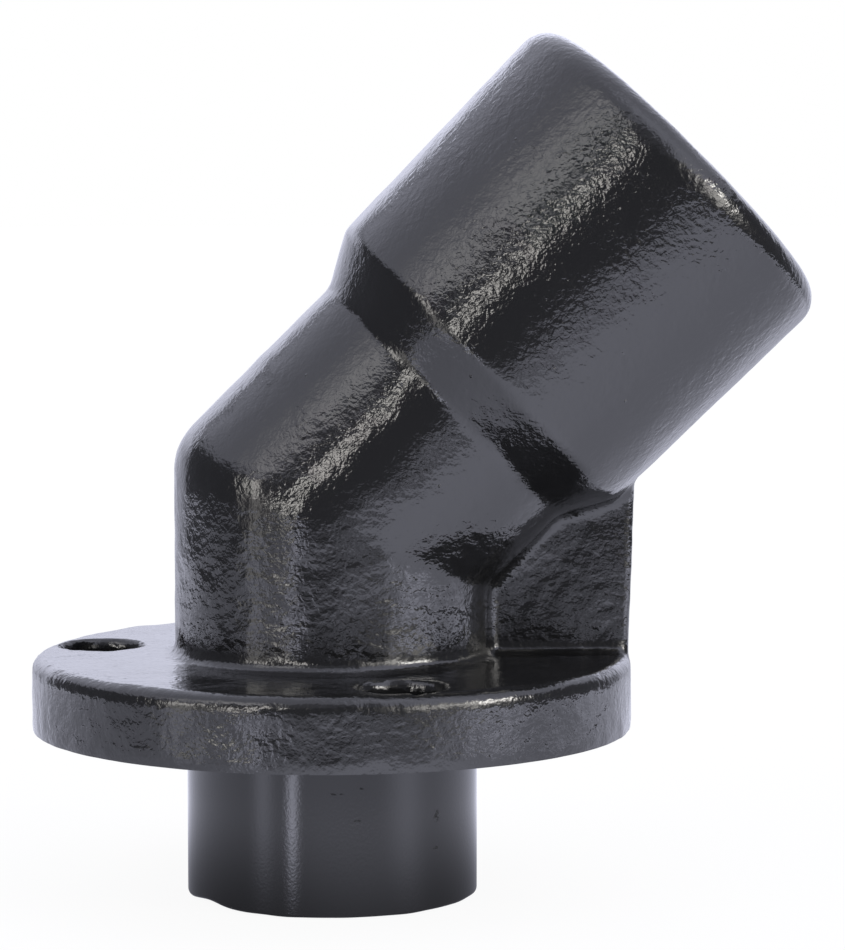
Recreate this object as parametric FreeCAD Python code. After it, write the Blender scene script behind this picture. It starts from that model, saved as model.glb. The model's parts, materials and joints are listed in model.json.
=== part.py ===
import FreeCAD, Part
import math
import os

# A cast 45 degree pipe elbow with a three-bolt flange, its pressed-in spigot tube and its seal ring.
# Millimetres. The origin is the centre of the flange's underside, +Z runs up the neck and the bend
# leans towards +X, so the whole elbow is symmetrical about the XZ plane except for its bolt holes.

# Pipe passage, 1 1/2 inch pipe size
PIPE_OUTSIDE_DIAMETER = 48.3
PIPE_BORE_DIAMETER = 41.0

# Flange
FLANGE_DIAMETER = 99.5
FLANGE_THICKNESS = 12.0
FLANGE_RIM_RADIUS = 2.2
FLANGE_FOOT_RADIUS = 0.5
BOLT_HOLE_COUNT = 3
BOLT_HOLE_DIAMETER = 13.5
BOLT_CIRCLE_DIAMETER = 80.5
FIRST_BOLT_HOLE_ANGLE = 163.5
BOLT_HOLE_CHAMFER = 0.4

# Neck and bend
NECK_RADIUS = 26.1
NECK_FOOT_RADIUS = 1.7
HUB_RISE = 2.3
BEND_HEIGHT = FLANGE_THICKNESS + 23.1
BEND_ANGLE = 45.0
BEND_OUTER_RADIUS = 11.0
BEND_INNER_RADIUS = 4.0
BEND_SECTIONS = 13

# Leaning leg, measured along its axis from the point where the two axes cross
BARREL_RADIUS = 26.8
BARREL_DRAFT = -0.0046
CONE_START = 26.3
CONE_SLOPE = 0.56
CONE_FOOT_FILLET = 3.5
CONE_TOP_FILLET = 3.3
SOCKET_RADIUS = 31.6
SOCKET_DRAFT = 0.0208
SOCKET_END = 82.7
SOCKET_LIP_RADIUS = 5.0

# Inside of the leaning leg
PASSAGE_CONE_START = 42.0
THREAD_RELIEF_DIAMETER = 47.0
THREAD_START = 57.0
THREAD_BORE_DIAMETER = 44.6
THREAD_MOUTH_DIAMETER = 49.4

# Gusset rib
RIB_THICKNESS = 6.0
RIB_FOOT_REACH = 49.2
RIB_FOOT_HEIGHT = 6.0
RIB_TOP_REACH = 50.4
RIB_TOP_HEIGHT = FLANGE_THICKNESS + 30.0
RIB_END_ON_LEG = 40.0
VISIBLE_RIB_START = NECK_RADIUS - 5.0
RIB_EDGE_RADIUS = 1.0
RIB_ROOT_FILLET = 2.0
RIB_FOOT_FILLET = 1.0

# Spigot tube, with a slimmer shank that is pressed into the flange
SPIGOT_LENGTH = 28.0
SHANK_DIAMETER = 46.3
SHANK_LENGTH = 10.0
SPIGOT_OUTER_CHAMFER = 0.8
SPIGOT_INNER_CHAMFER = 0.6

# Seal ring in the flange's underside
SEAL_INNER_DIAMETER = 53.6
SEAL_SECTION_DIAMETER = 3.5
SEAL_GROOVE_WIDTH = 4.4
SEAL_GROOVE_DEPTH = 2.7

Z_AXIS = FreeCAD.Vector(0, 0, 1)
Y_AXIS = FreeCAD.Vector(0, 1, 0)
BEND_POINT = FreeCAD.Vector(0, 0, BEND_HEIGHT)


def unit(x, z):
    """A unit vector in the XZ plane."""
    return FreeCAD.Vector(x, 0, z).normalize()


LEG_AXIS = unit(math.sin(math.radians(BEND_ANGLE)), math.cos(math.radians(BEND_ANGLE)))
# Points away from the leg axis on the inner side of the bend, where the rib is
LEG_UNDERSIDE = unit(math.cos(math.radians(BEND_ANGLE)), -math.sin(math.radians(BEND_ANGLE)))


def rounded_outline(corners):
    """A closed wire in the XZ plane through (x, z, corner radius) points."""
    edges = []
    starts = []
    ends = []
    points = [FreeCAD.Vector(x, 0, z) for x, z, _ in corners]
    for i, (_, _, radius) in enumerate(corners):
        here = points[i]
        back = (points[i - 1] - here).normalize()
        ahead = (points[(i + 1) % len(points)] - here).normalize()
        if radius == 0:
            starts.append(here)
            ends.append(here)
            continue
        half_corner = back.getAngle(ahead) / 2
        setback = radius / math.tan(half_corner)
        centre = here + (back + ahead).normalize() * (radius / math.sin(half_corner))
        arc_start = here + back * setback
        arc_end = here + ahead * setback
        arc_middle = centre + (here - centre).normalize() * radius
        edges.append(Part.Arc(arc_start, arc_middle, arc_end).toShape())
        starts.append(arc_start)
        ends.append(arc_end)
    for i in range(len(corners)):
        line_start = ends[i]
        line_end = starts[(i + 1) % len(corners)]
        if line_start.distanceToPoint(line_end) > 1e-6:
            edges.append(Part.makeLine(line_start, line_end))
    return Part.Wire(Part.__sortEdges__(edges))


def turned(corners):
    """A solid of revolution about Z from (radius, height, corner radius) points."""
    face = Part.Face(rounded_outline(corners))
    return face.revolve(FreeCAD.Vector(0, 0, 0), Z_AXIS, 360)


def on_leg(shape):
    """Move a shape built about Z so that it stands on the leaning leg's axis."""
    placed = shape.copy()
    placed.rotate(FreeCAD.Vector(0, 0, 0), Y_AXIS, BEND_ANGLE)
    placed.translate(BEND_POINT)
    return placed


def bend_pivot():
    """Centre of the inner corner's fillet, which every cross-section of the bend passes through."""
    x = NECK_RADIUS + BEND_INNER_RADIUS
    leg_side = BARREL_RADIUS + BEND_INNER_RADIUS
    z = BEND_HEIGHT + (x * LEG_UNDERSIDE.x - leg_side) / -LEG_UNDERSIDE.z
    return FreeCAD.Vector(x, 0, z)


def outer_corner_centre():
    """Centre of the outer corner's rounding."""
    x = BEND_OUTER_RADIUS - NECK_RADIUS
    leg_side = BEND_OUTER_RADIUS - BARREL_RADIUS
    z = BEND_HEIGHT + (x * LEG_UNDERSIDE.x - leg_side) / -LEG_UNDERSIDE.z
    return FreeCAD.Vector(x, 0, z)


def distance_to_outer_side(angle):
    """How far the outer side of the bend lies from the pivot, looking along a cross-section."""
    pivot = bend_pivot()
    ray = unit(-math.cos(angle), math.sin(angle))
    to_neck_side = (pivot.x + NECK_RADIUS) / math.cos(angle)
    leg_reach = 2 * BARREL_RADIUS + BEND_INNER_RADIUS
    to_leg_side = leg_reach / math.cos(math.radians(BEND_ANGLE) - angle)
    centre = outer_corner_centre()
    along = (centre - pivot).dot(ray)
    across = (centre - pivot).cross(ray).Length
    if across < BEND_OUTER_RADIUS:
        to_arc = along + math.sqrt(BEND_OUTER_RADIUS ** 2 - across ** 2)
        hit = pivot + ray * to_arc - centre
        if hit.z >= 0 and hit.dot(LEG_AXIS) <= 0:
            return to_arc
    return min(to_neck_side, to_leg_side)


def ellipse_wire(centre, in_plane, in_plane_radius, side_radius):
    """An ellipse in four quarters, with one half-width along in_plane and the other along Y."""
    normal = in_plane.cross(Y_AXIS)
    a = in_plane * in_plane_radius
    b = Y_AXIS * side_radius
    to_place = FreeCAD.Matrix(
        a.x, b.x, normal.x, centre.x,
        a.y, b.y, normal.y, centre.y,
        a.z, b.z, normal.z, centre.z,
        0, 0, 0, 1,
    )
    circle = Part.Circle(FreeCAD.Vector(0, 0, 0), Z_AXIS, 1.0)
    quarters = []
    for i in range(4):
        start = math.radians(45 + 90 * i)
        quarter = Part.Arc(circle, start, start + math.radians(90)).toShape()
        quarters.append(quarter.transformGeometry(to_place).Edges[0])
    return Part.Wire(quarters)


def bend_section(angle):
    """The bend's cross-section at an angle round the pivot, zero being square to the neck."""
    pivot = bend_pivot()
    ray = unit(-math.cos(angle), math.sin(angle))
    far = distance_to_outer_side(angle)
    share = angle / math.radians(BEND_ANGLE)
    side_radius = NECK_RADIUS + (BARREL_RADIUS - NECK_RADIUS) * share
    centre = pivot + ray * ((far + BEND_INNER_RADIUS) / 2)
    return ellipse_wire(centre, ray, (far - BEND_INNER_RADIUS) / 2, side_radius)


def bend_solid():
    """The outside of the bend, from the neck's end to the barrel's start."""
    step = math.radians(BEND_ANGLE) / (BEND_SECTIONS - 1)
    sections = [bend_section(i * step) for i in range(BEND_SECTIONS)]
    return Part.makeLoft(sections, True, False)


def flange():
    """The flange with its rounded rim and the fillet that leads up into the neck."""
    fillet_top = FLANGE_THICKNESS + NECK_FOOT_RADIUS + HUB_RISE
    return turned([
        (0, 0, 0),
        (FLANGE_DIAMETER / 2, 0, FLANGE_FOOT_RADIUS),
        (FLANGE_DIAMETER / 2, FLANGE_THICKNESS, FLANGE_RIM_RADIUS),
        (NECK_RADIUS, FLANGE_THICKNESS, NECK_FOOT_RADIUS),
        (NECK_RADIUS, fillet_top, 0),
        (0, fillet_top, 0),
    ])


def neck():
    """The straight neck, from inside the flange up to the first cross-section of the bend."""
    height = bend_pivot().z - RIB_FOOT_HEIGHT
    return Part.makeCylinder(NECK_RADIUS, height, FreeCAD.Vector(0, 0, RIB_FOOT_HEIGHT))


def leaning_leg():
    """Barrel, cone and socket as one turned shape, from the last cross-section of the bend."""
    start = (bend_pivot() - BEND_POINT).dot(LEG_AXIS)
    cone_foot = BARREL_RADIUS + BARREL_DRAFT * (CONE_START - start)
    cone_end = CONE_START + (SOCKET_RADIUS - cone_foot) / CONE_SLOPE
    lip = SOCKET_RADIUS + SOCKET_DRAFT * (SOCKET_END - cone_end)
    return on_leg(turned([
        (0, start, 0),
        (BARREL_RADIUS, start, 0),
        (cone_foot, CONE_START, CONE_FOOT_FILLET),
        (SOCKET_RADIUS, cone_end, CONE_TOP_FILLET),
        (lip, SOCKET_END, SOCKET_LIP_RADIUS),
        (0, SOCKET_END, 0),
    ]))


def gusset_rib():
    """The flat rib in the plane of the bend, with its two outer edges rounded."""
    outline = Part.makePolygon([
        FreeCAD.Vector(0, 0, RIB_FOOT_HEIGHT),
        FreeCAD.Vector(RIB_FOOT_REACH, 0, RIB_FOOT_HEIGHT),
        FreeCAD.Vector(RIB_TOP_REACH, 0, RIB_TOP_HEIGHT),
        BEND_POINT + LEG_AXIS * RIB_END_ON_LEG,
        BEND_POINT,
        FreeCAD.Vector(0, 0, RIB_FOOT_HEIGHT),
    ])
    plate = Part.Face(outline).extrude(Y_AXIS * RIB_THICKNESS)
    plate.translate(Y_AXIS * (-RIB_THICKNESS / 2))
    outer_edges = [
        edge for edge in plate.Edges
        if abs(edge.tangentAt(edge.FirstParameter).y) < 0.5
        and min(vertex.X for vertex in edge.Vertexes) > RIB_FOOT_REACH - 0.01
    ]
    return plate.makeFillet(RIB_EDGE_RADIUS, outer_edges)


def middle_of(edge):
    return edge.valueAt((edge.FirstParameter + edge.LastParameter) / 2)


def lies_on(edge, shape):
    """Whether the middle of an edge is on the skin of a shape."""
    return Part.Vertex(middle_of(edge)).distToShape(Part.Shell(shape.Faces))[0] < 1e-4


def blended(body, rib, radius):
    """A body with the rib grown out of it through a fillet."""
    joined = body.fuse(rib).Solids[0]
    seams = [
        edge for edge in joined.Edges
        if middle_of(edge).x > VISIBLE_RIB_START
        and lies_on(edge, body) and lies_on(edge, rib)
    ]
    return joined.makeFillet(radius, seams)


def outer_shape():
    """The casting before any hole is cut in it."""
    rib = gusset_rib()
    pipe = bend_solid().fuse([neck(), leaning_leg()]).removeSplitter()
    ribbed_pipe = blended(pipe, rib, RIB_ROOT_FILLET)
    ribbed_flange = blended(flange(), rib, RIB_FOOT_FILLET)
    return ribbed_pipe.fuse(ribbed_flange).removeSplitter()


def bolt_hole():
    """One bolt hole as a cutter about Z, with a small chamfer at each face of the flange."""
    radius = BOLT_HOLE_DIAMETER / 2
    wide = radius + BOLT_HOLE_CHAMFER
    return turned([
        (0, -1, 0),
        (wide, -1, 0),
        (wide, 0, 0),
        (radius, BOLT_HOLE_CHAMFER, 0),
        (radius, FLANGE_THICKNESS - BOLT_HOLE_CHAMFER, 0),
        (wide, FLANGE_THICKNESS, 0),
        (wide, FLANGE_THICKNESS + 1, 0),
        (0, FLANGE_THICKNESS + 1, 0),
    ])


def bolt_holes():
    """The bolt holes, evenly spaced round the flange."""
    cutters = []
    for i in range(BOLT_HOLE_COUNT):
        angle = math.radians(FIRST_BOLT_HOLE_ANGLE + i * 360 / BOLT_HOLE_COUNT)
        cutter = bolt_hole()
        cutter.translate(FreeCAD.Vector(math.cos(angle), math.sin(angle), 0) * (BOLT_CIRCLE_DIAMETER / 2))
        cutters.append(cutter)
    return cutters


def passage_cutters():
    """The way through: spigot seat, neck passage, rounded bend, and the bores of the leaning leg."""
    bore = PIPE_BORE_DIAMETER / 2
    relief = THREAD_RELIEF_DIAMETER / 2
    thread = THREAD_BORE_DIAMETER / 2
    mouth = THREAD_MOUTH_DIAMETER / 2
    seat = Part.makeCylinder(SHANK_DIAMETER / 2, SHANK_LENGTH)
    neck_passage = Part.makeCylinder(bore, BEND_HEIGHT)
    elbow = Part.makeSphere(bore, BEND_POINT)
    leg_passage = on_leg(turned([
        (0, 0, 0),
        (bore, 0, 0),
        (bore, PASSAGE_CONE_START, 0),
        (relief, PASSAGE_CONE_START + relief - bore, 0),
        (relief, THREAD_START, 0),
        (thread, THREAD_START + relief - thread, 0),
        (thread, SOCKET_END - (mouth - thread), 0),
        (mouth, SOCKET_END, 0),
        (mouth, SOCKET_END + 1, 0),
        (0, SOCKET_END + 1, 0),
    ]))
    return [seat, neck_passage.fuse([elbow, leg_passage])]


def seal_groove():
    """The ring-shaped groove in the flange's underside that holds the seal."""
    inner = SEAL_INNER_DIAMETER / 2
    outer = inner + SEAL_GROOVE_WIDTH
    return turned([
        (inner, -1, 0),
        (outer, -1, 0),
        (outer, SEAL_GROOVE_DEPTH, 0),
        (inner, SEAL_GROOVE_DEPTH, 0),
    ])


def elbow_casting():
    """Flange, neck, bend, barrel, cone, socket and rib, cast in one piece and then bored."""
    return outer_shape().cut(bolt_holes() + passage_cutters() + [seal_groove()])


def spigot_tube():
    """The turned tube, pressed into the flange up to its shoulder and chamfered at its free end."""
    outer = PIPE_OUTSIDE_DIAMETER / 2
    shank = SHANK_DIAMETER / 2
    inner = PIPE_BORE_DIAMETER / 2
    return turned([
        (inner + SPIGOT_INNER_CHAMFER, -SPIGOT_LENGTH, 0),
        (outer - SPIGOT_OUTER_CHAMFER, -SPIGOT_LENGTH, 0),
        (outer, -SPIGOT_LENGTH + SPIGOT_OUTER_CHAMFER, 0),
        (outer, 0, 0),
        (shank, 0, 0),
        (shank, SHANK_LENGTH, 0),
        (inner, SHANK_LENGTH, 0),
        (inner, -SPIGOT_LENGTH + SPIGOT_INNER_CHAMFER, 0),
    ])


def flange_seal_ring():
    """The round-section rubber ring, resting against the roof and inner wall of its groove."""
    section = SEAL_SECTION_DIAMETER / 2
    centre_height = SEAL_GROOVE_DEPTH - section
    return Part.makeTorus(
        SEAL_INNER_DIAMETER / 2 + section,
        section,
        FreeCAD.Vector(0, 0, centre_height),
    )


PARTS = {
    "elbow_casting": elbow_casting,
    "spigot_tube": spigot_tube,
    "flange_seal_ring": flange_seal_ring,
}

os.makedirs("parts", exist_ok=True)
for name, build in PARTS.items():
    build().exportStep(f"parts/{name}.step")
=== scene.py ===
import json
import math

import bmesh
import bpy
import numpy as np
from mathutils import Matrix, Vector, noise


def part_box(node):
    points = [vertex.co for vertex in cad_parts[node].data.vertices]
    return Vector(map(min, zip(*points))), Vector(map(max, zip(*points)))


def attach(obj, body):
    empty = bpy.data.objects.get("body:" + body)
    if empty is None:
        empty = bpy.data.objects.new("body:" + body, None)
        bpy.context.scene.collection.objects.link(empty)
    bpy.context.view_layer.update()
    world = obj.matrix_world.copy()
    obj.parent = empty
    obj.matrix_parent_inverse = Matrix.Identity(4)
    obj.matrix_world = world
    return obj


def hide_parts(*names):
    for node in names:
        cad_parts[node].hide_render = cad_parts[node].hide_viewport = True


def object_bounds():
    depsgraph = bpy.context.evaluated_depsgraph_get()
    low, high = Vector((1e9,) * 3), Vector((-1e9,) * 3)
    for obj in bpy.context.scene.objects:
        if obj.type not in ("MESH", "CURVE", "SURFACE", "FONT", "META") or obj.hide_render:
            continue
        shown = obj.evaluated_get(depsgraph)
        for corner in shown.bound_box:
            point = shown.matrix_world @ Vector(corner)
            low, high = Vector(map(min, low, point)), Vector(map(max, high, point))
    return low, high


MM = 0.001
DEGREES = 180.0 / math.pi

# Cast skin
SKIN_VOXEL = 0.8 * MM
SKIN_SMOOTHING_STEPS = 2
FACET_CUTS = 4
PLUG_RADIUS = 25.0 * MM
MACHINING_DEPTH = 0.2 * MM
MACHINING_STOCK = 2.0 * MM
CAST_WAVE_LENGTH = 7.0 * MM
CAST_WAVE_HEIGHT = 0.035 * MM
CAST_LUMP_LENGTH = 2.8 * MM
CAST_LUMP_HEIGHT = 0.018 * MM

# Bores of the leaning leg, measured along its axis from the point where the two axes cross
RELIEF_START = 42.0 * MM
RELIEF_RADIUS = 23.5 * MM
THREAD_PITCH = 2.209 * MM
THREAD_DEPTH = 1.77 * MM
THREAD_MOUTH_ROOT_RADIUS = 24.1 * MM
THREAD_TAPER = 1.0 / 32.0
MOUTH_RADIUS = 24.7 * MM

# Seal groove and tube
GROOVE_WIDTH = 4.4 * MM
TUBE_EDGE_RADIUS = 0.5 * MM
TURNED_SEGMENTS = 192

# The tube's sawn end and the scuffs on its side. Bearings run from the camera's direction to its right;
# each scuff gives its place across and up the tube and its half width and half height.
SAWN_UNEVENNESS = 0.3 * MM
CHIP_HEIGHT = 0.65 * MM
CHIP_BEARING = -56.0
CHIP_WIDTH = 12.0
TUBE_SCUFFS_MM = [
    (5.3, -6.8, 1.0, 0.25),
    (1.2, -7.6, 1.3, 0.2),
    (4.4, -12.0, 1.1, 0.2),
    (17.3, -12.4, 0.5, 1.1),
    (17.2, -17.7, 0.6, 0.3),
]

# Materials
COAT_BLACK = (0.006, 0.006, 0.006, 1.0)
RUBBER_BLACK = (0.02, 0.02, 0.02, 1.0)
COAT_IOR = 1.5
COAT_ROUGHNESS = 0.085
COAT_ROUGHNESS_LOW_DOWN = 0.12
SCUFF_ROUGHNESS = 0.5
GRAIN_DEPTH = 0.085 * MM
DIMPLE_DEPTH = 0.17 * MM
DUST_DEPTH = 0.03 * MM
NIB_HEIGHT = 0.12 * MM
SPECKLE_DEPTH = 0.012 * MM
TURNING_DEPTH = 0.006 * MM

# The camera stands to the front of the elbow, a little above the flange. Azimuth 0 looks along +Y.
CAMERA_AZIMUTH = math.radians(3.5)
CAMERA_PITCH = math.radians(5.11)
CAMERA_DISTANCE = 578.0 * MM
CAMERA_OFFSET = 15.06 * MM
CAMERA_RISE = 81.3 * MM
CAMERA_LENS_MM = 88.4
CAMERA_SENSOR_MM = 24.0

# Studio. In the light functions, bearings and elevations are in degrees and distances in millimetres;
# a brightness of 1 is about that of the white table.
FLOOR_HALF_SIZE = 6.0
FLOOR_WHITE = 0.93
FLOOR_ALBEDO = 0.05
COOL_WHITE = (0.98, 1.0, 1.19)
WARM_WHITE = (1.03, 1.0, 0.95)


def direction(azimuth_degrees, elevation_degrees):
    """A unit vector seen from the object; azimuth 0 is towards the camera, positive to its right."""
    turn = math.radians(azimuth_degrees) - CAMERA_AZIMUTH
    rise = math.radians(elevation_degrees)
    return Vector((math.sin(turn) * math.cos(rise), -math.cos(turn) * math.cos(rise), math.sin(rise)))


def linked(name, mesh):
    obj = bpy.data.objects.new(name, mesh)
    bpy.context.scene.collection.objects.link(obj)
    return obj


def settle(obj):
    """Turn an object's modifiers into plain mesh."""
    depsgraph = bpy.context.evaluated_depsgraph_get()
    mesh = bpy.data.meshes.new_from_object(obj.evaluated_get(depsgraph))
    obj.modifiers.clear()
    obj.data = mesh


def arc(radius, height, bend, start, end, steps=6):
    """Outline points round (radius, height), from one angle in degrees to another."""
    points = []
    for i in range(steps + 1):
        angle = math.radians(start + (end - start) * i / steps)
        points.append((radius + bend * math.cos(angle), height + bend * math.sin(angle)))
    return points


def lathe(name, outline, place=None, radius_at=None):
    """A closed mesh turned about Z from (radius, height) points. A radius of zero closes it on the axis.

    radius_at(radius, height, turn) may change a point's radius; turn runs from 0 to 1.
    """
    points = []
    rings = []
    for radius, height in outline:
        if radius == 0:
            rings.append([len(points)] * TURNED_SEGMENTS)
            points.append((0.0, 0.0, height))
            continue
        rings.append(range(len(points), len(points) + TURNED_SEGMENTS))
        for i in range(TURNED_SEGMENTS):
            turn = i / TURNED_SEGMENTS
            here = radius_at(radius, height, turn) if radius_at else radius
            angle = 2 * math.pi * turn
            points.append((here * math.cos(angle), here * math.sin(angle), height))
    if outline[0][0] > 0:
        rings.append(rings[0])
    faces = []
    for low, high in zip(rings, rings[1:]):
        for i in range(TURNED_SEGMENTS):
            j = (i + 1) % TURNED_SEGMENTS
            faces.append(tuple(dict.fromkeys((low[i], low[j], high[j], high[i]))))
    mesh = bpy.data.meshes.new(name)
    mesh.from_pydata(points, [], faces)
    if place is not None:
        mesh.transform(place)
    return mesh


def smooth_with_edges(mesh, angle_degrees):
    """Smooth shading that keeps edges sharper than an angle."""
    mesh.shade_smooth()
    mesh.set_sharp_from_angle(angle=math.radians(angle_degrees))


def corner_values(mesh):
    """Positions and surface directions at the three corners of each triangle."""
    mesh.calc_loop_triangles()
    triangles = mesh.loop_triangles
    vertex_of = np.empty(len(triangles) * 3, int)
    loop_of = np.empty(len(triangles) * 3, int)
    places = np.empty(len(mesh.vertices) * 3)
    normals = np.empty(len(mesh.loops) * 3)
    triangles.foreach_get("vertices", vertex_of)
    triangles.foreach_get("loops", loop_of)
    mesh.vertices.foreach_get("co", places)
    mesh.corner_normals.foreach_get("vector", normals)
    corners = places.reshape(-1, 3)[vertex_of].reshape(-1, 3, 3)
    directions = normals.reshape(-1, 3)[loop_of].reshape(-1, 3, 3)
    return corners, directions


def curved_copy(mesh, name):
    """A mesh's triangles in smaller pieces that bulge from flat facets back to the true curved surface.

    A point goes half-way to where the tangent planes at its triangle's corners are, which is an arc.
    """
    corners, directions = corner_values(mesh)
    grid = [(i, j) for i in range(FACET_CUTS + 1) for j in range(FACET_CUTS + 1 - i)]
    index = {point: k for k, point in enumerate(grid)}
    weights = np.array([(FACET_CUTS - i - j, i, j) for i, j in grid]) / FACET_CUTS
    flat = np.einsum("pk,tkc->tpc", weights, corners)
    height = np.einsum("tpkc,tkc->tpk", flat[:, :, None] - corners[:, None], directions)
    points = flat - 0.5 * np.einsum("pk,tpk,tkc->tpc", weights, height, directions)
    small = [(index[i, j], index[i + 1, j], index[i, j + 1]) for i, j in grid if i + j < FACET_CUTS]
    small += [
        (index[i + 1, j], index[i + 1, j + 1], index[i, j + 1])
        for i, j in grid if i + j < FACET_CUTS - 1
    ]
    starts = np.arange(len(corners))[:, None, None] * len(grid)
    faces = (starts + np.array(small)).reshape(-1)
    copy = bpy.data.meshes.new(name)
    copy.vertices.add(points.size // 3)
    copy.vertices.foreach_set("co", points.ravel())
    copy.loops.add(len(faces))
    copy.loops.foreach_set("vertex_index", faces)
    copy.polygons.add(len(faces) // 3)
    copy.polygons.foreach_set("loop_start", np.arange(0, len(faces), 3))
    copy.update(calc_edges=True)
    return copy


def plug_meshes():
    """Solids that fill the casting's passage and seal groove, and stock to machine off under its rim."""
    lip = PLUG_RADIUS
    dome_low = arc(0, BEND_HEIGHT, lip, -80, 80, 16)
    groove_in = SEAL_INNER_RADIUS - 1 * MM
    groove_out = SEAL_INNER_RADIUS + GROOVE_WIDTH + 1 * MM
    roof = SEAL_TOP + 0.5 * MM
    rim_out = -casting_low.x - 0.3 * MM
    rim_in = rim_out - 2 * MM
    sole = -MACHINING_STOCK
    return [
        lathe("neck_plug", [(0, 0), (lip, 0), (lip, BEND_HEIGHT), (0, BEND_HEIGHT)]),
        lathe("bend_plug", [(0, BEND_HEIGHT - lip)] + dome_low + [(0, BEND_HEIGHT + lip)]),
        lathe("leg_plug", [(0, 0), (lip, 0), (lip, SOCKET_END), (0, SOCKET_END)], LEG),
        lathe("groove_plug", [(groove_in, 0), (groove_out, 0), (groove_out, roof), (groove_in, roof)]),
        lathe("rim_stock", [(rim_in, sole), (rim_out, sole), (rim_out, 1 * MM), (rim_in, 1 * MM)]),
    ]


def facing_mesh():
    """The slab that is machined off under the flange, which leaves its mounting face flat and crisp."""
    low = -2 * MACHINING_STOCK
    wide = 60 * MM
    return lathe("facing", [(0, low), (wide, low), (wide, MACHINING_DEPTH), (0, MACHINING_DEPTH)])


def passage_meshes():
    """Cutters for the neck passage with the tube's seat, the leaning leg's bores and the seal groove."""
    dome = arc(0, BEND_HEIGHT, BORE_RADIUS, 0, 84, 14)
    neck = [
        (0, -3 * MM), (SHANK_RADIUS, -3 * MM), (SHANK_RADIUS, SHANK_TOP), (BORE_RADIUS, SHANK_TOP),
    ] + dome + [(0, BEND_HEIGHT + BORE_RADIUS)]
    relief_rise = RELIEF_RADIUS - BORE_RADIUS
    leg = [
        (0, -0.5 * MM),
        (BORE_RADIUS, -0.5 * MM),
        (BORE_RADIUS, RELIEF_START),
        (RELIEF_RADIUS, RELIEF_START + relief_rise),
        (RELIEF_RADIUS, THREAD_START),
        (THREAD_RADIUS, THREAD_START + RELIEF_RADIUS - THREAD_RADIUS),
        (THREAD_RADIUS, SOCKET_END - (MOUTH_RADIUS - THREAD_RADIUS)),
        (MOUTH_RADIUS, SOCKET_END),
        (MOUTH_RADIUS, SOCKET_END + 2 * MM),
        (0, SOCKET_END + 2 * MM),
    ]
    groove_out = SEAL_INNER_RADIUS + GROOVE_WIDTH
    groove = [
        (SEAL_INNER_RADIUS, -1 * MM), (groove_out, -1 * MM),
        (groove_out, SEAL_TOP), (SEAL_INNER_RADIUS, SEAL_TOP),
    ]
    return [lathe("neck_cutter", neck), lathe("leg_cutter", leg, LEG), lathe("groove_cutter", groove)]


def thread_tap():
    """A tapered screw that cuts the pipe thread into the socket's bore."""
    steps_per_turn = 10
    start = THREAD_START - 0.5 * MM
    end = SOCKET_END + 1.5 * MM
    count = int((end - start) / THREAD_PITCH * steps_per_turn)
    clear_of_wall = THREAD_RADIUS - 0.2 * MM

    def groove_radius(radius, height, turn):
        root = THREAD_MOUTH_ROOT_RADIUS - (SOCKET_END - height) * THREAD_TAPER
        phase = (height / THREAD_PITCH - turn) % 1.0
        from_root = abs(phase - 0.5) * 2
        return max(radius, root - THREAD_DEPTH * max(0.0, from_root - 0.1) / 0.9)

    outline = [(clear_of_wall, start + (end - start) * k / count) for k in range(count + 1)]
    return lathe("tap", [(0, start)] + outline + [(0, end)], LEG, groove_radius)


def cut(obj, meshes):
    """Cut solid meshes out of an object."""
    for mesh in meshes:
        cutter = linked(mesh.name, mesh)
        modifier = obj.modifiers.new("cut", "BOOLEAN")
        modifier.operation = "DIFFERENCE"
        modifier.solver = "MANIFOLD"
        modifier.object = cutter
        settle(obj)
        bpy.data.objects.remove(cutter)


def roughen(mesh):
    """Give the skin the slow waves and small lumps of a sand casting."""
    count = len(mesh.vertices)
    places = np.empty(count * 3)
    normals = np.empty(count * 3)
    mesh.vertices.foreach_get("co", places)
    mesh.vertices.foreach_get("normal", normals)
    places = places.reshape(count, 3)
    waves = np.array([noise.noise(Vector(p) / CAST_WAVE_LENGTH) for p in places])
    lumps = np.array([noise.noise(Vector(p) / CAST_LUMP_LENGTH) for p in places])
    rougher_near_flange = 1.0 + np.clip((60 * MM - places[:, 2]) / (30 * MM), 0.0, 1.0)
    lift = (waves * CAST_WAVE_HEIGHT + lumps * CAST_LUMP_HEIGHT) * 2 * rougher_near_flange
    places += normals.reshape(count, 3) * lift[:, None]
    mesh.vertices.foreach_set("co", places.ravel())
    mesh.update()


def cast_skin(node):
    """The casting with a dense cast skin, its fillets softened by thick coating and its bores cut clean."""
    bm = bmesh.new()
    for mesh in [curved_copy(node.data, "curved")] + plug_meshes():
        bm.from_mesh(mesh)
    lump = bpy.data.meshes.new("cast_skin")
    bm.to_mesh(lump)
    bm.free()
    skin = linked("cast_skin", lump)
    remesh = skin.modifiers.new("skin", "REMESH")
    remesh.mode = "VOXEL"
    remesh.voxel_size = SKIN_VOXEL
    even = skin.modifiers.new("even", "SMOOTH")
    even.factor = 0.5
    even.iterations = SKIN_SMOOTHING_STEPS
    settle(skin)
    roughen(skin.data)
    cut(skin, [facing_mesh()])
    for vertex in skin.data.vertices:
        if vertex.co.z < 1.01 * MACHINING_DEPTH:
            vertex.co.z = 0.0
    cut(skin, passage_meshes() + [thread_tap()])
    smooth_with_edges(skin.data, 40)
    return skin


def end_lift(place):
    """How far the sawn end stands short of its full length at a place."""
    bearing = math.degrees(math.atan2(place.dot(direction(90, 0)), place.dot(direction(0, 0))))
    chip = math.exp(-((bearing - CHIP_BEARING) / CHIP_WIDTH) ** 2)
    saw_marks = 0.5 + 0.5 * noise.noise(place / (5 * MM))
    return SAWN_UNEVENNESS * saw_marks + CHIP_HEIGHT * chip


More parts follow.
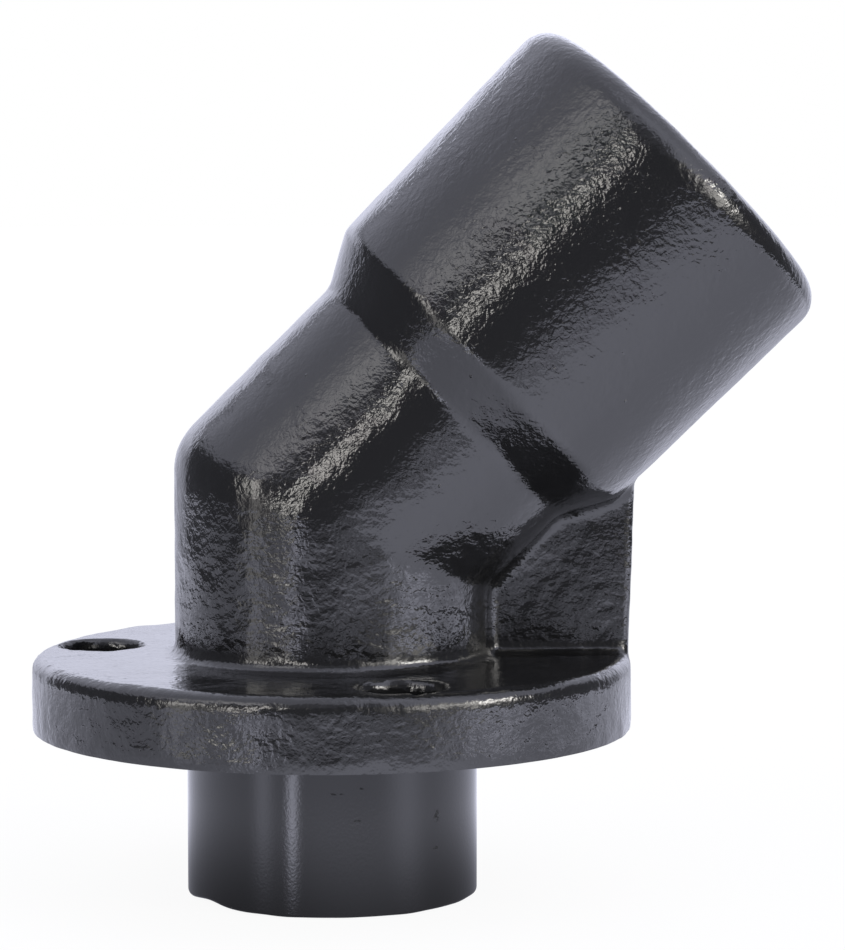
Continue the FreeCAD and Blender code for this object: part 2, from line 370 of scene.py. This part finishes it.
def turned_tube():
    """The spigot tube with softly broken edges, pressed up to its shoulder."""
    edge = TUBE_EDGE_RADIUS
    end = TUBE_END
    outline = [(SHANK_RADIUS, 0), (SHANK_RADIUS, SHANK_TOP), (BORE_RADIUS, SHANK_TOP)]
    outline += arc(BORE_RADIUS + edge, end + edge, edge, 180, 270)
    outline += arc(TUBE_RADIUS - edge, end + edge, edge, 270, 360)
    outline += [(TUBE_RADIUS, 0)]
    tube = linked("turned_tube", lathe("turned_tube", outline))
    for vertex in tube.data.vertices:
        if vertex.co.z < end + 2 * edge:
            vertex.co.z += end_lift(vertex.co)
    smooth_with_edges(tube.data, 40)
    return tube


class Nodes:
    """A short way to write a node tree: every call adds a node and returns the socket it gives."""

    def __init__(self, tree):
        self.tree = tree
        self.tree.nodes.clear()

    def add(self, kind, **settings):
        node = self.tree.nodes.new(kind)
        for name, value in settings.items():
            setattr(node, name, value)
        return node

    def feed(self, socket, value):
        if isinstance(value, bpy.types.NodeSocket):
            self.tree.links.new(value, socket)
        else:
            socket.default_value = value

    def math(self, operation, *values):
        node = self.add("ShaderNodeMath", operation=operation)
        for socket, value in zip(node.inputs, values):
            self.feed(socket, value)
        return node.outputs[0]

    def dot(self, vector, other):
        node = self.add("ShaderNodeVectorMath", operation="DOT_PRODUCT")
        self.feed(node.inputs[0], vector)
        self.feed(node.inputs[1], other)
        return node.outputs["Value"]

    def ramp(self, value, low, high, to_low=0.0, to_high=1.0):
        """A smooth step from to_low to to_high as value goes from low to high."""
        node = self.add("ShaderNodeMapRange", interpolation_type="SMOOTHSTEP")
        self.feed(node.inputs["Value"], value)
        self.feed(node.inputs["From Min"], low)
        self.feed(node.inputs["From Max"], high)
        self.feed(node.inputs["To Min"], to_low)
        self.feed(node.inputs["To Max"], to_high)
        return node.outputs["Result"]

    def bell(self, value, centre, width):
        """One at centre, falling smoothly to about a third at one width away."""
        away = self.math("DIVIDE", self.math("SUBTRACT", value, centre), width)
        square = self.math("MULTIPLY", away, away)
        return self.math("EXPONENT", self.math("MULTIPLY", square, -1.0))

    def total(self, *values):
        result = values[0]
        for value in values[1:]:
            result = self.math("ADD", result, value)
        return result

    def times(self, *values):
        result = values[0]
        for value in values[1:]:
            result = self.math("MULTIPLY", result, value)
        return result

    def scaled(self, vector, factor):
        node = self.add("ShaderNodeVectorMath", operation="SCALE")
        self.feed(node.inputs[0], vector)
        self.feed(node.inputs["Scale"], factor)
        return node.outputs[0]

    def summed(self, vector, other):
        node = self.add("ShaderNodeVectorMath", operation="ADD")
        self.feed(node.inputs[0], vector)
        self.feed(node.inputs[1], other)
        return node.outputs[0]

    def flat(self, vector):
        """The vector with its height taken out."""
        node = self.add("ShaderNodeVectorMath", operation="MULTIPLY")
        self.feed(node.inputs[0], vector)
        self.feed(node.inputs[1], (1.0, 1.0, 0.0))
        return node.outputs[0]

    def length(self, vector):
        node = self.add("ShaderNodeVectorMath", operation="LENGTH")
        self.feed(node.inputs[0], vector)
        return node.outputs["Value"]

    def noise(self, vector, scale, detail=3.0, roughness=0.5, distortion=0.0):
        node = self.add("ShaderNodeTexNoise")
        self.feed(node.inputs["Vector"], vector)
        node.inputs["Scale"].default_value = scale
        node.inputs["Detail"].default_value = detail
        node.inputs["Roughness"].default_value = roughness
        node.inputs["Distortion"].default_value = distortion
        return node.outputs["Fac"]

    def spot_distance(self, vector, scale):
        """Distance to the nearest of many scattered points."""
        node = self.add("ShaderNodeTexVoronoi")
        self.feed(node.inputs["Vector"], vector)
        node.inputs["Scale"].default_value = scale
        return node.outputs["Distance"]

    def stretched(self, vector, scale):
        node = self.add("ShaderNodeMapping")
        self.feed(node.inputs["Vector"], vector)
        node.inputs["Scale"].default_value = scale
        return node.outputs["Vector"]

    def bump(self, height, distance, normal=None):
        node = self.add("ShaderNodeBump")
        node.inputs["Distance"].default_value = distance
        self.feed(node.inputs["Height"], height)
        if normal is not None:
            self.feed(node.inputs["Normal"], normal)
        return node.outputs["Normal"]


def new_material(name):
    material = bpy.data.materials.new(name)
    material.use_nodes = True
    return material, Nodes(material.node_tree)


def finish_principled(nodes, settings):
    shader = nodes.add("ShaderNodeBsdfPrincipled")
    for name, value in settings.items():
        nodes.feed(shader.inputs[name], value)
    output = nodes.add("ShaderNodeOutputMaterial")
    nodes.tree.links.new(shader.outputs["BSDF"], output.inputs["Surface"])


def gloss_black_casting():
    """Thick gloss black powder coat over a sand casting: grain, dimples low down, dust and a few nibs."""
    material, nodes = new_material("gloss_black_casting")
    place = nodes.add("ShaderNodeTexCoord").outputs["Object"]
    along_leg = nodes.dot(place, LEG_AXIS)
    height = nodes.dot(place, (0.0, 0.0, 1.0))
    on_socket = nodes.ramp(along_leg, 62.0 * MM, 82.0 * MM, 1.0, 1.6)
    low_down = nodes.times(
        nodes.ramp(height, 28.0 * MM, 50.0 * MM, 1.0, 0.0),
        nodes.ramp(height, 11.0 * MM, 17.0 * MM, 0.7, 1.0),
    )
    patchy = nodes.ramp(nodes.noise(place, 130.0, detail=2.0), 0.3, 0.7, 0.6, 1.5)
    grain = nodes.times(nodes.noise(place, 900.0, detail=2.0, distortion=0.4), on_socket, patchy)
    normal = nodes.bump(grain, GRAIN_DEPTH)
    dimples = nodes.noise(nodes.stretched(place, (0.85, 0.85, 1.05)), 470.0, detail=2.0, roughness=0.45)
    normal = nodes.bump(nodes.times(dimples, low_down), DIMPLE_DEPTH, normal)
    normal = nodes.bump(nodes.noise(place, 2200.0, detail=1.0), DUST_DEPTH, normal)
    nibs = nodes.ramp(nodes.spot_distance(place, 140.0), 0.01, 0.04, 1.0, 0.0)
    normal = nodes.bump(nibs, NIB_HEIGHT, normal)
    finish_principled(nodes, {
        "Base Color": COAT_BLACK,
        "Roughness": nodes.ramp(height, 25.0 * MM, 55.0 * MM, COAT_ROUGHNESS_LOW_DOWN, COAT_ROUGHNESS),
        "IOR": COAT_IOR,
        "Normal": normal,
    })
    return material


def scuff_mask(nodes, place):
    """One inside the scuffs on the tube's front, zero elsewhere."""
    across = nodes.dot(place, direction(90, 0))
    height = nodes.dot(place, (0.0, 0.0, 1.0))
    in_front = nodes.ramp(nodes.dot(place, direction(0, 0)), 0.0, 5.0 * MM)
    marks = [
        nodes.times(nodes.bell(across, x * MM, wide * MM), nodes.bell(height, z * MM, tall * MM))
        for x, z, wide, tall in TUBE_SCUFFS_MM
    ]
    ragged = nodes.ramp(nodes.noise(place, 1500.0, detail=2.0), 0.35, 0.6)
    return nodes.times(nodes.total(*marks), in_front, ragged)


def satin_black_tube():
    """Smoother black on the turned tube, with a few dull scuffs."""
    material, nodes = new_material("satin_black_tube")
    place = nodes.add("ShaderNodeTexCoord").outputs["Object"]
    turning = nodes.noise(nodes.stretched(place, (1.0, 1.0, 0.08)), 700.0, detail=3.0)
    speckle = nodes.noise(place, 2200.0, detail=1.0)
    scuffs = scuff_mask(nodes, place)
    normal = nodes.bump(speckle, SPECKLE_DEPTH, nodes.bump(turning, TURNING_DEPTH))
    finish_principled(nodes, {
        "Base Color": COAT_BLACK,
        "Roughness": nodes.ramp(scuffs, 0.1, 0.8, COAT_ROUGHNESS, SCUFF_ROUGHNESS),
        "Specular IOR Level": nodes.ramp(scuffs, 0.1, 0.8, 0.5, 0.25),
        "IOR": COAT_IOR,
        "Normal": normal,
    })
    return material


def seal_rubber():
    material, nodes = new_material("seal_rubber")
    place = nodes.add("ShaderNodeTexCoord").outputs["Object"]
    dust = nodes.noise(place, 500.0, detail=4.0)
    normal = nodes.bump(dust, 0.02 * MM)
    finish_principled(nodes, {
        "Base Color": RUBBER_BLACK,
        "Roughness": nodes.ramp(dust, 0.3, 0.7, 0.5, 0.7),
        "Normal": normal,
    })
    return material


def dress(obj, material):
    obj.data.materials.clear()
    obj.data.materials.append(material)


def bearing_of(nodes, vector):
    """Compass bearing of a vector in degrees: 0 towards the camera, positive to its right."""
    ahead = nodes.dot(vector, direction(0, 0))
    right = nodes.dot(vector, direction(90, 0))
    return nodes.math("MULTIPLY", nodes.math("ARCTAN2", right, ahead), DEGREES)


def elevation_of(nodes, vector):
    return nodes.math("MULTIPLY", nodes.math("ARCSINE", nodes.dot(vector, (0.0, 0.0, 1.0))), DEGREES)


def seen_by_camera(nodes, reflected, white):
    """The reflected brightness for every ray except the camera's own, which meets plain white."""
    mix = nodes.add("ShaderNodeMix", data_type="RGBA")
    nodes.feed(mix.inputs["Factor"], nodes.add("ShaderNodeLightPath").outputs["Is Camera Ray"])
    nodes.feed(mix.inputs[6], reflected)
    nodes.feed(mix.inputs[7], (white, white, white, 1.0))
    return mix.outputs[2]


def room_glow(nodes, bearing, rise):
    """Brightness of the dim room, its white screen behind the object and its pale ceiling."""
    behind = nodes.times(
        nodes.ramp(nodes.math("ABSOLUTE", bearing), 126.0, 140.0),
        nodes.ramp(rise, -10.0, 4.0, 0.5, 0.88),
        nodes.ramp(rise, 6.0, 14.0, 1.0, 1.8),
        nodes.ramp(rise, 21.0, 28.0, 1.0, 0.0),
    )
    right_glow = nodes.times(nodes.bell(bearing, 55.0, 34.0), 0.9)
    above = nodes.times(nodes.ramp(rise, 24.0, 31.0), nodes.total(1.05, right_glow))
    front_gap = nodes.times(
        nodes.ramp(bearing, -28.0, -18.0),
        nodes.ramp(bearing, 20.0, 28.0, 1.0, 0.0),
        nodes.ramp(rise, 44.0, 56.0, 0.78, 0.0),
    )
    under_panel = nodes.times(nodes.bell(bearing, -32.0, 8.0), nodes.ramp(rise, 31.0, 37.0, 0.75, 0.0))
    gaps = nodes.math("MAXIMUM", front_gap, under_panel)
    return nodes.total(0.2, behind, nodes.times(above, nodes.math("SUBTRACT", 1.0, gaps)))


def lamp_glow(nodes, bearing, rise):
    """Brightness of the lamps: a panel above and two strips on the left, a round one on the right."""
    panel = nodes.times(
        nodes.bell(bearing, -40.0, 26.0),
        nodes.ramp(bearing, -28.0, -16.0, 1.0, 0.1),
        nodes.bell(rise, 38.0, 12.0),
        nodes.ramp(rise, 30.0, 35.0),
        2.3,
    )
    height = nodes.math("ABSOLUTE", rise)
    soft_strip = nodes.times(
        nodes.bell(bearing, -56.0, 6.5),
        nodes.ramp(rise, 2.0, 14.0, 2.0, 7.0),
        nodes.ramp(rise, 22.0, 28.0, 1.0, 0.0),
    )
    slanted = nodes.math("SUBTRACT", bearing, nodes.times(height, 0.8))
    bright_strip = nodes.times(
        nodes.bell(slanted, -39.5, 4.1),
        nodes.ramp(rise, -2.0, 6.0, 3.4, 10.5),
        nodes.ramp(height, 22.0, 28.0, 1.0, 0.0),
    )
    round_lamp = nodes.times(nodes.bell(bearing, 68.0, 7.0), nodes.bell(rise, 20.0, 6.0), 26.0)
    lamp_spill = nodes.times(nodes.bell(bearing, 48.0, 17.0), nodes.bell(rise, 14.0, 11.0), 7.0)
    return nodes.total(panel, soft_strip, bright_strip, round_lamp, lamp_spill)


def studio_world():
    """White to the camera, and a room with soft lamps in every reflection."""
    world = bpy.data.worlds.new("studio")
    bpy.context.scene.world = world
    world.use_nodes = True
    nodes = Nodes(world.node_tree)
    look = nodes.add("ShaderNodeTexCoord").outputs["Generated"]
    bearing = bearing_of(nodes, look)
    rise = elevation_of(nodes, look)
    room = nodes.scaled(COOL_WHITE, room_glow(nodes, bearing, rise))
    lamps = nodes.scaled(WARM_WHITE, lamp_glow(nodes, bearing, rise))
    background = nodes.add("ShaderNodeBackground")
    nodes.feed(background.inputs["Color"], seen_by_camera(nodes, nodes.summed(room, lamps), 1.0))
    output = nodes.add("ShaderNodeOutputWorld")
    nodes.tree.links.new(background.outputs["Background"], output.inputs["Surface"])


def table_glow(nodes, bearing, down, reach):
    """Brightness of the white table, by bearing, steepness and distance from the object.

    Each light is a band of bearings that grows or fades with distance. All of it is painted light: the
    table glows though it is no lamp, the lamp bands are painted lamp light on it, and it has painted shade
    near the object.
    """
    def band(centre, width, near, far, level_near, level_far):
        return nodes.times(
            nodes.bell(bearing, centre, width),
            nodes.ramp(reach, near * MM, far * MM, level_near, level_far),
        )

    front = band(5.0, 45.0, 150.0, 370.0, 0.15, -0.6)
    front_far = band(16.0, 10.0, 350.0, 440.0, 0.0, 1.5)
    right = band(100.0, 32.0, 150.0, 350.0, 0.1, 1.2)
    left = band(-120.0, 22.0, 230.0, 390.0, 0.0, 0.8)
    soft_strip = band(-55.0, 8.5, 200.0, 400.0, 0.9, 1.9)
    right_lamp = band(62.0, 16.0, 150.0, 400.0, 0.8, 3.7)
    strip_bearing = nodes.ramp(reach, 100.0 * MM, 320.0 * MM, -30.3, -27.0)
    bright_strip = nodes.times(
        nodes.bell(bearing, strip_bearing, 4.4),
        nodes.total(
            nodes.ramp(reach, 50.0 * MM, 200.0 * MM, 4.2, 2.7),
            nodes.ramp(reach, 240.0 * MM, 400.0 * MM, 0.0, 2.4),
        ),
    )
    lamps = nodes.total(soft_strip, bright_strip, right_lamp)
    plain = nodes.total(1.0, front, front_far, right, left)
    # Painted shade: the table's glow darkens close to the object, where its contact shadow falls.
    painted_shade_near_object = nodes.ramp(reach, 15.0 * MM, 95.0 * MM, 0.2, 1.0)
    # The plain glow takes the full painted shade and the lamp bands a lighter painted shade.
    grazing = nodes.total(
        nodes.times(plain, painted_shade_near_object),
        nodes.times(lamps, nodes.ramp(reach, 15.0 * MM, 60.0 * MM, 0.7, 1.0)),
    )
    # Painted reflection of the ceiling on the table, for steep rays, with the same painted shade near the
    # object.
    ceiling_on_table = nodes.total(1.1, nodes.times(nodes.bell(bearing, 25.0, 62.0), 1.15))
    steep = nodes.times(painted_shade_near_object, ceiling_on_table)
    share = nodes.ramp(down, 13.0, 20.0)
    glow = nodes.total(
        nodes.times(grazing, nodes.math("SUBTRACT", 1.0, share)),
        nodes.times(steep, share),
    )
    # Painted light: the table's glow is dimmer far behind the object.
    far_behind = nodes.times(
        nodes.ramp(nodes.math("ABSOLUTE", bearing), 150.0, 166.0),
        nodes.ramp(reach, 150.0 * MM, 350.0 * MM, 0.0, 0.4),
    )
    return nodes.times(glow, nodes.math("SUBTRACT", 1.0, far_behind))


def table_edge(nodes, bearing, reach):
    """One past the table's edge; the table runs on and fades towards the front."""
    to_front = nodes.bell(bearing, 8.0, 22.0)
    starts = nodes.total(430.0 * MM, nodes.times(to_front, 50.0 * MM))
    ends = nodes.total(530.0 * MM, nodes.times(to_front, 600.0 * MM))
    return nodes.ramp(reach, starts, ends)


def pale_floor(height):
    """A plain white floor to the camera; in reflections it is a small table that ends in the room, glowing
    with painted light and painted shade near the object.
    """
    bpy.ops.mesh.primitive_plane_add(size=2 * FLOOR_HALF_SIZE, location=(0, 0, height))
    floor = bpy.context.object
    floor.name = "floor"
    material, nodes = new_material("pale_floor")
    geometry = nodes.add("ShaderNodeNewGeometry")
    place = nodes.flat(geometry.outputs["Position"])
    outward = nodes.scaled(geometry.outputs["Incoming"], -1.0)
    bearing = bearing_of(nodes, outward)
    down = nodes.math("MULTIPLY", elevation_of(nodes, outward), -1.0)
    reach = nodes.length(place)
    table = nodes.scaled(COOL_WHITE, table_glow(nodes, bearing, down, reach))
    glow = nodes.add("ShaderNodeEmission")
    nodes.feed(glow.inputs["Color"], seen_by_camera(nodes, table, FLOOR_WHITE))
    matte = nodes.add("ShaderNodeBsdfDiffuse")
    nodes.feed(matte.inputs["Color"], (FLOOR_ALBEDO, FLOOR_ALBEDO, FLOOR_ALBEDO, 1.0))
    lit = nodes.add("ShaderNodeAddShader")
    nodes.feed(lit.inputs[0], glow.outputs[0])
    nodes.feed(lit.inputs[1], matte.outputs[0])
    not_camera = nodes.math("SUBTRACT", 1.0, nodes.add("ShaderNodeLightPath").outputs["Is Camera Ray"])
    surface = nodes.add("ShaderNodeMixShader")
    nodes.feed(surface.inputs[0], nodes.times(table_edge(nodes, bearing, reach), not_camera))
    nodes.feed(surface.inputs[1], lit.outputs[0])
    nodes.feed(surface.inputs[2], nodes.add("ShaderNodeBsdfTransparent").outputs[0])
    output = nodes.add("ShaderNodeOutputMaterial")
    nodes.feed(output.inputs["Surface"], surface.outputs[0])
    dress(floor, material)


def photo_camera(flange_top):
    data = bpy.data.cameras.new("camera")
    data.sensor_fit = "VERTICAL"
    data.sensor_height = CAMERA_SENSOR_MM
    data.lens = CAMERA_LENS_MM
    data.clip_start = 0.01
    camera = bpy.data.objects.new("camera", data)
    bpy.context.scene.collection.objects.link(camera)
    place = direction(0, 0) * CAMERA_DISTANCE + direction(90, 0) * CAMERA_OFFSET
    place.z = flange_top + CAMERA_RISE
    turn = Matrix.Rotation(-CAMERA_AZIMUTH, 4, "Z") @ Matrix.Rotation(math.pi / 2 - CAMERA_PITCH, 4, "X")
    camera.matrix_world = Matrix.Translation(place) @ turn
    bpy.context.scene.camera = camera


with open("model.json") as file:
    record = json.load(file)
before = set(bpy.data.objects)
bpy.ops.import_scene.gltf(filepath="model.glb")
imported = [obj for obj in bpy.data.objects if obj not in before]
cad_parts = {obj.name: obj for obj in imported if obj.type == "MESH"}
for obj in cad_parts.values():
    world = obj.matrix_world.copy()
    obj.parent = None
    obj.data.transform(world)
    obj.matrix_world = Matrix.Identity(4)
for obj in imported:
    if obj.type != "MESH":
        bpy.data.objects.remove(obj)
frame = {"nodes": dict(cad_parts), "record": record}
cad_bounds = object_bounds()

# Places and sizes that the frame gives
mounts = {mount["name"]: mount for mount in frame["record"]["mounts"]}
thread_mount = mounts["socket_thread"]
casting = frame["nodes"]["elbow_casting"]
casting_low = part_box("elbow_casting")[0]
tube_low, tube_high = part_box("spigot_tube")
seal_low, seal_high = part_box("flange_seal_ring")

LEG_AXIS = Vector(thread_mount["axis"]).normalized()
thread_middle = Vector(thread_mount["pos_m"])
BEND_HEIGHT = thread_middle.z - thread_middle.x * LEG_AXIS.z / LEG_AXIS.x
BEND_POINT = Vector((0, 0, BEND_HEIGHT))
LEG_TURN = Vector((0, 0, 1)).rotation_difference(LEG_AXIS).to_matrix().to_4x4()
LEG = Matrix.Translation(BEND_POINT) @ LEG_TURN
SOCKET_END = max((v.co - BEND_POINT).dot(LEG_AXIS) for v in casting.data.vertices)
THREAD_RADIUS = thread_mount["dims"]["r_mm"] * MM
thread_bore_start = (thread_middle - BEND_POINT).length - thread_mount["dims"]["length_mm"] / 2 * MM
THREAD_START = thread_bore_start - (RELIEF_RADIUS - THREAD_RADIUS)
TUBE_RADIUS = mounts["spigot"]["dims"]["r_mm"] * MM
TUBE_END = tube_low.z
SHANK_TOP = tube_high.z
shank = [v.co.xy.length for v in frame["nodes"]["spigot_tube"].data.vertices if v.co.z > SHANK_TOP / 2]
SHANK_RADIUS = max(shank)
BORE_RADIUS = min(shank)
SEAL_TOP = seal_high.z
SEAL_INNER_RADIUS = seal_high.x - (seal_high.z - seal_low.z)
FLANGE_TOP = 12.0 * MM

skin = cast_skin(casting)
dress(skin, gloss_black_casting())
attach(skin, "root")
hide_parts("elbow_casting")

tube = turned_tube()
dress(tube, satin_black_tube())
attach(tube, "root")
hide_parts("spigot_tube")

dress(frame["nodes"]["flange_seal_ring"], seal_rubber())

bpy.context.scene.view_settings.view_transform = "Standard"
studio_world()
pale_floor(cad_bounds[0][2])
photo_camera(FLANGE_TOP)
